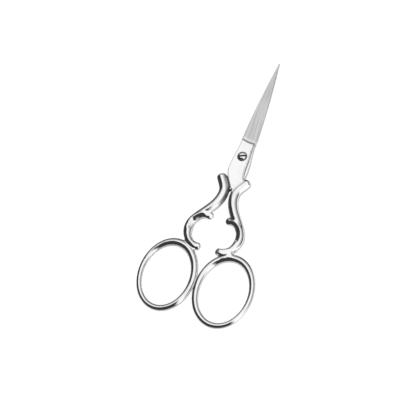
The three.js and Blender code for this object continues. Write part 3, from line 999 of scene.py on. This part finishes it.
outwards = figure(tree, "MULTIPLY", radius, LATHE_FEED)
grain = placed(tree, grind_grain, Across=outwards, Along=spot.outputs["Z"])
tone = blended(tree, grain["Shade"], SCREW_DARK, SCREW_LIGHT)
# Painted shade in the screw's slot and in a ring at the rim of its head.
slot_shade = ramp(tree, figure(tree, "ABSOLUTE", spot.outputs["Y"]), *SLOT_SHADE)
shade_mask = figure(tree, "MAXIMUM", slot_shade, ramp(tree, radius, *RIM_SHADE))
shine = gloss(tree, marks, SCREW_ROUGHNESS)
residue = placed(tree, oil_residue, Vector=place, Mask=shade_mask, Steel=tone, Gloss=shine)
finished(tree, shader, residue, grain["Height"], SCREW_BUMP)
print("steel:", screw_steel.name)

# %% [markdown]
# ## Handles
# Each handle is the whole polished part of a half, from the crossing plate down to the ring. Where
# painted shade goes on it depends on its shape, and no noise knows that. A mask could be painted by hand,
# but it is worked out from each corner's place instead, as a number from 0 to 1 that the mirror steel
# reads. The two handles differ only in the hole and in the band of painted shade round it.

# %% Painted shade on a handle
WALL_SIDE = 1.2
WALL_FOOT = -6.6
WALL_LOW = 0.1
WALL_SHADE = 0.85
WALL_FADE = (0.15, 0.5)
BAND_FADE = 0.2
NEAR_FACE = 1.3
NECK_HALF = (SHOULDER_WIDTH + NECK_GAIN) / 2
SHANK_SHADE = 0.9
SHANK_FADE = (0.5, 0.2)
SHANK_TOP = -11.2
SHANK_THIN = (-14.0, 4.5)
SHANK_SIDE = 4


def wall_residue(x, y, z):
    """Painted shade on the wall that stands in the other plate's corner, fading from one height over a
    distance.
    """
    wall = (x > WALL_SIDE) & (y > WALL_FOOT) & (z > WALL_LOW)
    return wall * eased(WALL_SHADE, 0, (z - WALL_FADE[0]) / WALL_FADE[1])


def screw_residue(x, y, z, first, last):
    """Painted shade round the screw's head: a band on the outer face that starts at one radius and is
    gone at the last.
    """
    radius = np.hypot(x, y)
    return (radius > first) * eased(1, 0, (radius - last + BAND_FADE) / BAND_FADE) * (z > NEAR_FACE)


def shank_residue(x, y):
    """A painted dark reflection on the shank's inner side, where the two shanks are close, thinning out
    down the shank.

    The share inwards is the way from the shank's line over the neck's half width. Each fade is given
    by where it starts and how far it goes.
    """
    inside = (np.interp(-y, -lower_bend[:, 1], lower_bend[:, 0]) - x) / NECK_HALF
    inner_side = eased(0, SHANK_SHADE, (inside - SHANK_FADE[0]) / SHANK_FADE[1])
    thinning = eased(1, 0, (SHANK_THIN[0] - y) / SHANK_THIN[1])
    return inner_side * thinning * (y < SHANK_TOP) * (x < SHANK_SIDE)


def handle_residue(corners, first, last):
    """The most of the three painted shades at each corner."""
    x, y, z = corners.T
    places = [wall_residue(x, y, z), screw_residue(x, y, z, first, last), shank_residue(x, y)]
    return np.maximum.reduce(places)


print("residue helpers: wall_residue, screw_residue, shank_residue, handle_residue")

# %% Handles
FRONT_BAND = (1.3, 1.72)
BACK_BAND = (0.0, 1.1)
# Each handle gets its mask of painted shade; only the bands round the screw differ.
front_residue = handle_residue(front_handle_skin[0], *FRONT_BAND)
back_residue = handle_residue(back_handle_skin[0], *BACK_BAND)
front_handle = piece("front_handle", front_handle_skin, front_place, mirror_steel, residue=front_residue)
back_handle = piece("back_handle", back_handle_skin, back_place, mirror_steel, residue=back_residue)
for handle, body, solid in ((front_handle, "front", "front_half"), (back_handle, "back", "back_half")):
    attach(handle, body)
    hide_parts(solid)
print("handles:", len(front_handle.data.polygons), len(back_handle.data.polygons), "faces")

# %% [markdown]
# ## Blades
# A blade is a thin wedge: thick at its back, thin at the cutting edge, slim towards the tip. Its inner
# face is ground hollow, so that two closed blades touch only at their edges. The outer face is slightly
# crowned. At the root the wheel leaves a quarter-round run-out up to the plate. Cuts by large drums would
# copy the grinding, but would leave long thin triangles. So one section is worked out from the share of
# the length that is gone, and all the sections make the grid.

# %% A blade's sections
BLADE_LENGTH = 28.9
EDGE_REACH = 2.62
EDGE_TAPER = 1.4
BACK_REACH = 2.2
BACK_TAPER = 1.55
TIP_WIDTH = 0.16
TIP_THICKNESS = 0.34
BACK_THICKNESS = 1.12
EDGE_THICKNESS = 0.42
PLATE_THICKNESS = 1.35
ROOT_STEP = 0.05
EDGE_BEVEL = 0.22
HOLLOW_DEPTH = 0.14
CROWN = 0.04


def arch(share):
    """A parabola that is 0 at shares 0 and 1 and is 1 halfway: 4s(1 - s)."""
    return 4 * share * (1 - share)


def blade_top(thickness, slim, lifted):
    """Height of the outer face: evenly down to the tip's, and lifted to the plate at the root."""
    top = TIP_THICKNESS + (thickness - TIP_THICKNESS) * slim
    return top + (PLATE_THICKNESS - ROOT_STEP - top) * lifted


def blade_grid(share, edge_reach, lift, in_hollow=17, in_face=25, in_round=7):
    """Rows are sections at a share of the length. Columns go round: hollow, bevel, crowned face, back.

    Edge and back close in as 1 less a power of the share. The root's slant and sag fade to the tip.
    """
    gone = np.clip(share, 0, 1)[:, None]
    slim = 1 - share[:, None]
    lifted = lift[:, None]
    edge = TIP_WIDTH / 2 + edge_reach[:, None] * (1 - gone**EDGE_TAPER)
    back = -TIP_WIDTH / 2 - BACK_REACH * (1 - gone**BACK_TAPER)
    edge_top = blade_top(EDGE_THICKNESS, slim, lifted)
    back_top = blade_top(BACK_THICKNESS, slim, lifted)
    bevel = np.minimum(EDGE_BEVEL, (edge - back) / 4)
    radius = np.minimum(bevel, back_top / 4)
    q = np.linspace(0, 1, in_hollow)[None]
    hollow_x = back + (edge - back) * q
    hollow_z = HOLLOW_DEPTH * slim * arch(q)
    face = np.linspace(0, 1, in_face)[None]
    face_x = (edge - bevel) + (back + radius - edge + bevel) * face
    face_z = edge_top + (back_top - edge_top) * face + CROWN * slim * (1 - lifted) * arch(face)
    turn = np.linspace(0, np.pi / 2, in_round)[None, 1:]
    round_x = back + radius * (1 - np.sin(turn))
    round_z = back_top - radius * (1 - np.cos(turn))
    x = np.hstack([hollow_x, face_x, round_x])
    z = FACE_INNER + np.hstack([hollow_z, face_z, round_z])
    sag = ROOT_SAG * np.clip(1 - (x / PLATE_BACK) ** 2, 0, 1)
    y = PLATE_TOP + share[:, None] * BLADE_LENGTH - (x * ROOT_SLANT + sag) * slim
    return np.stack([x, y, z], axis=2), (x - back) / (edge - back)


print("blade:", BLADE_LENGTH, "mm from root to tip")

# %% A blade from root to tip
HEEL_HEIGHT = 0.45
HEEL_INSET = 0.1
HEEL_REACH = PLATE_HEEL - HEEL_INSET
GRIND_RUNOUT = 1.1
SUNK_SHARE = -0.012
ROOT_SHADE = 0.85
ROOT_SHADE_HEIGHT = 0.17
ROOT_SHADE_FADE = (0.62, 0.3)


def blade(in_runout=25, in_length=121):
    """Three runs of sections: sunk into the plate, up the wheel's run-out, and on to the tip.

    With the skin come the grinding marks: millimetres across, millimetres along, and the root's painted
    shade.
    """
    along = np.linspace(0, 1, in_runout)
    lift = 1 - np.sqrt(1 - (1 - along) ** 2)
    flare = np.sqrt(np.clip(along * GRIND_RUNOUT / HEEL_HEIGHT, 0, 1))
    reach = HEEL_REACH + (EDGE_REACH - HEEL_REACH) * flare
    clear = GRIND_RUNOUT / BLADE_LENGTH
    far = clear + (1 - clear) * np.linspace(0, 1, in_length)[1:]
    share = np.concatenate([[SUNK_SHARE], along * clear, far])
    reach = np.concatenate([[HEEL_REACH], reach, np.full(len(far), EDGE_REACH)])
    lift = np.concatenate([[1.0], lift, np.zeros(len(far))])
    grid, across = blade_grid(share, reach, lift)
    gone = np.broadcast_to(share[:, None] * BLADE_LENGTH, across.shape)
    # Painted shade: a dark band along the root, where the blade meets the plate's step.
    low = np.exp(-((gone / ROOT_SHADE_HEIGHT) ** 2))
    root = low * eased(ROOT_SHADE, 0, (across - ROOT_SHADE_FADE[0]) / ROOT_SHADE_FADE[1])
    grind = np.stack([across * (EDGE_REACH + BACK_REACH), gone, root], axis=2)
    return skin(grid), grind.reshape(-1, 3)


blade_skin, blade_grind = blade()
print("blade grid:", len(blade_skin[0]), "corners")

# %% Blades
front_blade = piece("front_blade", blade_skin, front_place, satin_steel, grind=blade_grind)
back_blade = piece("back_blade", blade_skin, back_place, satin_steel, grind=blade_grind)
for edge_steel, body, solid in ((front_blade, "front", "front_half"), (back_blade, "back", "back_half")):
    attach(edge_steel, body)
    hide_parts(solid)
print("blades:", len(front_blade.data.polygons), "faces each")

# %% [markdown]
# ## Pivot screw
# The screw is turned on a lathe. Its head has a low dome and a small round at the rim, and the slot is
# sawn across it. Below, a plain shoulder carries the front half, and the threaded end goes through the
# back half and is filed flush. Blender's Screw modifier could turn it, but a profile carried round the
# axis is a grid like all the others, and the saw is a Boolean cut.

# %% The screw's profile
END_CHAMFER = 0.12
THREAD_RADIUS = 0.9
THREAD_TOP = 1.4
PLAIN_RADIUS = 1.05
HEAD_RADIUS = 1.5
HEAD_UNDER = 2.87
HEAD_CHAMFER = 0.06
HEAD_RIM = 3.17
HEAD_TOP = 3.465
RIM_ROUND = 0.12
DOME_FULLNESS = 4
DOME_REACH = 0.995


def screw_profile(in_round=7, in_dome=16):
    """Radius and height pairs: filed end, thread, plain shoulder, head, quarter round of the rim, dome.

    The dome's height grows as 1 less the fourth power of what is left of the way to the middle.
    """
    low = [
        [THREAD_RADIUS - END_CHAMFER, 0.0],
        [THREAD_RADIUS, END_CHAMFER],
        [THREAD_RADIUS, THREAD_TOP],
        [PLAIN_RADIUS, THREAD_TOP],
        [PLAIN_RADIUS, HEAD_UNDER],
        [HEAD_RADIUS - HEAD_CHAMFER, HEAD_UNDER],
        [HEAD_RADIUS, HEAD_UNDER + HEAD_CHAMFER],
    ]
    lift = np.linspace(0, np.pi / 2, in_round)
    rim_r = HEAD_RADIUS - RIM_ROUND * (1 - np.cos(lift))
    rim_z = HEAD_RIM - RIM_ROUND * (1 - np.sin(lift))
    rise = np.linspace(0, 1, in_dome)[1:]
    dome_r = (HEAD_RADIUS - RIM_ROUND) * (1 - rise * DOME_REACH)
    dome_z = HEAD_RIM + (HEAD_TOP - HEAD_RIM) * (1 - (1 - rise) ** DOME_FULLNESS)
    return np.vstack([low, np.stack([rim_r, rim_z], 1), np.stack([dome_r, dome_z], 1)])


def lathe_turned(profile, sides=96):
    """The profile carried round Z: its radius times cosine and sine, its height unchanged."""
    turn = np.linspace(0, 2 * np.pi, sides, endpoint=False)
    x = profile[:, :1] * np.cos(turn)
    y = profile[:, :1] * np.sin(turn)
    z = np.broadcast_to(profile[:, 1:], x.shape)
    return skin(np.stack([x, y, z], axis=2))


screw_blank = lathe_turned(screw_profile())
print("screw blank:", len(screw_blank[0]), "corners")

# %% Pivot screw
SLOT_WIDTH = 0.56
SLOT_FLOOR = 3.11
SAW_HALF = 3
SAW_ABOVE = 1


def slot_saw():
    """A flat bar across the head, turned to the slot's direction."""
    half = np.array([SAW_HALF, SLOT_WIDTH / 2])
    bar = np.array([[-1, -1], [1, -1], [1, 1], [-1, 1]]) * half
    c, s = heading(SLOT_TURN)
    outline = bar @ np.array([[c, s], [-s, c]])
    return levels([outline, outline], [SLOT_FLOOR, HEAD_TOP + SAW_ABOVE])


screw_skin = cut(screw_blank, slot_saw())
pivot_screw = piece("pivot_screw_dressed", screw_skin, np.asarray, screw_steel)
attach(pivot_screw, "back")
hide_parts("pivot_screw")
print("screw:", len(pivot_screw.data.polygons), "faces")

# %% [markdown]
# ## Floor
# The scissors lie on a white sheet of paper, resting on the lower ring. A photographer lights such a
# sheet until it is pure white, and only the faint shadows under the steel are left. More light would
# do it, but it would burn out the steel as well. So the paper itself is finished in three ways, and
# Light Path chooses between them: plain paper for the light that it throws back, a paper that glows
# nearly white for the camera, and for the mirror finish the real paper close by, with its shadow, but
# further off an opening through which the studio's own evenly lit sheet is seen.

# %% Floor
FLOOR_HEIGHT = -0.72
FLOOR_HALF = 600


def floor_sheet():
    """A square of four corners: plus or minus the half width on X and Y, all at the floor's height."""
    corners = np.array([[-1, -1, 0], [1, -1, 0], [1, 1, 0], [-1, 1, 0]]) * FLOOR_HALF
    corners = corners + np.array([0, 0, FLOOR_HEIGHT])
    mesh = bpy.data.meshes.new("floor")
    mesh.from_pydata((corners * MM).tolist(), [], [[0, 1, 2, 3]])
    made = bpy.data.objects.new("floor", mesh)
    scene.collection.objects.link(made)
    return made


studio_floor = floor_sheet()
print("floor at", FLOOR_HEIGHT, "mm")

# %% White paper
PAPER_WHITE = 0.85
PAPER_GLOW = 0.93
SHADOW_DEPTH = 0.2
NEAR_PAPER = 2 * MM
FAR_PAPER = 6 * MM


def uncoated(tree, level):
    """A plain diffuse surface of one grey."""
    surface = node(tree, "BsdfDiffuse")
    surface.inputs["Color"].default_value = (level, level, level, 1)
    return surface.outputs["BSDF"]


def either(tree, choice, first, second):
    """The first surface where the choice is 0, and the second where it is 1."""
    mix = node(tree, "MixShader")
    feed(tree, mix.inputs["Fac"], choice)
    feed(tree, mix.inputs[1], first)
    feed(tree, mix.inputs[2], second)
    return mix.outputs["Shader"]


white_paper = bpy.data.materials.new("white_paper")
white_paper.use_nodes = True
paper = white_paper.node_tree
paper.nodes.clear()
ray_kind = node(paper, "LightPath").outputs
glow = node(paper, "Emission")
glow.inputs["Strength"].default_value = PAPER_GLOW
glowing = node(paper, "AddShader")
feed(paper, glowing.inputs[0], uncoated(paper, SHADOW_DEPTH))
feed(paper, glowing.inputs[1], glow.outputs["Emission"])
seen_paper = glowing.outputs["Shader"]
lit_paper = either(paper, ray_kind["Is Camera Ray"], uncoated(paper, PAPER_WHITE), seen_paper)
far_off = ramp(paper, ray_kind["Ray Length"], NEAR_PAPER, FAR_PAPER)
let_through = figure(paper, "MULTIPLY", ray_kind["Is Glossy Ray"], far_off)
opening = node(paper, "BsdfTransparent").outputs["BSDF"]
paper_surface = either(paper, let_through, lit_paper, opening)
feed(paper, node(paper, "OutputMaterial").inputs["Surface"], paper_surface)
studio_floor.data.materials.append(white_paper)
print("paper: glow", PAPER_GLOW, "for the camera")

# %% [markdown]
# ## Light
# Polished steel has no look of its own: it shows the room. The studio is a bright ceiling, a wide lamp
# low on the right, and dark places that draw the black lines on the steel: the unlit front of the
# room, a narrow band above the table's edge and a flag on the left. A grey screen on the far right
# keeps the steel from going white there. Area lamps and cards could build it, but every card would
# need its own place and would cast shadows. A sky whose level is set by the ray's direction does the
# same with a few soft masks, one laid over another, and each rim is a pair of cosines between which a
# mask fades. The camera itself sees plain white.

# %% A sky of soft masks
studio = bpy.data.worlds.new("studio")
scene.world = studio
studio.use_nodes = True
sky = studio.node_tree
sky.nodes.clear()
ray = node(sky, "TexCoord").outputs["Generated"]


def cosine_to(direction):
    """Cosine between a ray and a direction."""
    dot = node(sky, "VectorMath", operation="DOT_PRODUCT")
    feed(sky, dot.inputs[0], ray)
    dot.inputs[1].default_value = direction
    return dot.outputs["Value"]


def facing(direction, limits):
    """How far a ray points along a direction, as a mask between two cosines."""
    return ramp(sky, cosine_to(direction), *limits)


def beyond(direction, reach, softness):
    """A half of the sky: (cosine - reach) over the ray's level length, so its edge is soft low down."""
    flat = node(sky, "VectorMath", operation="MULTIPLY")
    feed(sky, flat.inputs[0], ray)
    flat.inputs[1].default_value = (1, 1, 0)
    length = node(sky, "VectorMath", operation="LENGTH")
    feed(sky, length.inputs[0], flat.outputs["Vector"])
    past = figure(sky, "SUBTRACT", cosine_to(direction), reach)
    return ramp(sky, figure(sky, "DIVIDE", past, length.outputs["Value"]), 0.0, softness)


def both(first, second):
    """Where two masks overlap: their product."""
    return figure(sky, "MULTIPLY", first, second)


def shade(mask, below, level):
    """The level so far, replaced by another where the mask is 1."""
    mix = node(sky, "Mix", data_type="FLOAT")
    feed(sky, mix.inputs["Factor"], mask)
    feed(sky, mix.inputs["A"], below)
    feed(sky, mix.inputs["B"], level)
    return mix.outputs["Result"]


print("sky helpers: cosine_to, facing, beyond, both, shade")

# %% Ceiling, lamp and screen
OVERHEAD = (0, 0, 1)
BENEATH = (0, 0, -1)
LAMP_HEADING = (*heading(-28), 0)
SCREEN_HEADING = (*heading(35), 0)
LOW_SKY = 0.36
CEILING = 1.08
LAMP = 1.3
SCREEN = 0.5
CEILING_RIM = (0.55, 0.92)
LAMP_RIM = (0.45, 0.8)
SCREEN_RIM = (0.4, 0.6)
SCREEN_TOP = (-0.85, -0.6)
ceiling = shade(facing(OVERHEAD, CEILING_RIM), LOW_SKY, CEILING)
lamp = shade(facing(LAMP_HEADING, LAMP_RIM), ceiling, LAMP)
screen_mask = both(facing(SCREEN_HEADING, SCREEN_RIM), facing(BENEATH, SCREEN_TOP))
screened = shade(screen_mask, lamp, SCREEN)
print("ceiling", CEILING, "lamp", LAMP, "screen", SCREEN)

# %% The dark places
FRONT_HEADING = (*heading(238), 0)
FRONT_SIDE = (*heading(250), 0)
TABLE_EDGE = 0.04
DARK_FRONT = 0.045
EDGE_TOP = (-0.42, -0.2)
LOW_LAMP_RIM = (0.85, 0.97)
FRONT_RIM = (0.05, 0.3)
SIDE_RIM = (-0.1, 0.25)
edged = shade(facing(BENEATH, EDGE_TOP), screened, TABLE_EDGE)
low_lamp = shade(facing(LAMP_HEADING, LOW_LAMP_RIM), edged, LAMP)
front_mask = both(beyond(FRONT_HEADING, *FRONT_RIM), beyond(FRONT_SIDE, *SIDE_RIM))
front = shade(front_mask, low_lamp, DARK_FRONT)
print("table's edge", TABLE_EDGE, "dark front", DARK_FRONT)

# %% The sheet below, and the flag
NEAR_HEADING = (*heading(17), 0)
FLAG_HEADING = (*(0.97 * heading(172)), -0.25)
SHEET = 0.95
DIM_SHEET = 0.7
SHADED_SHEET = 0.8
FLAG = 0.06
SHEET_RIM = (0.3, 0.55)
DIM_RIM = (0.08, 0.2)
NEAR_SIDES = (0.5, 0.8)
NEAR_RIM = (0.03, 0.15)
FLAG_RIM = (0.75, 0.95)
SHADED_RIM = (0.7, 0.95)
sheet = shade(facing(BENEATH, SHEET_RIM), front, SHEET)
dim_sheet = shade(both(front_mask, facing(BENEATH, DIM_RIM)), sheet, DIM_SHEET)
near_mask = both(facing(NEAR_HEADING, NEAR_SIDES), facing(BENEATH, NEAR_RIM))
full_sheet = shade(near_mask, dim_sheet, SHEET)
flagged = shade(facing(FLAG_HEADING, FLAG_RIM), full_sheet, FLAG)
room_level = shade(facing(BENEATH, SHADED_RIM), flagged, SHADED_SHEET)
print("sheet", SHEET, "flag", FLAG)

# %% Who sees what
CAMERA_WHITE = 1.0
FLOOR_GAIN = 1.6
path = node(sky, "LightPath")
seen = shade(path.outputs["Is Camera Ray"], room_level, CAMERA_WHITE)
gain = shade(path.outputs["Is Diffuse Ray"], 1.0, FLOOR_GAIN)
background = node(sky, "Background")
background.inputs["Color"].default_value = (1, 1, 1, 1)
feed(sky, background.inputs["Strength"], figure(sky, "MULTIPLY", seen, gain))
feed(sky, node(sky, "OutputWorld").inputs["Surface"], background.outputs["Background"])
print("world: white for the camera,", FLOOR_GAIN, "times as bright for the floor")
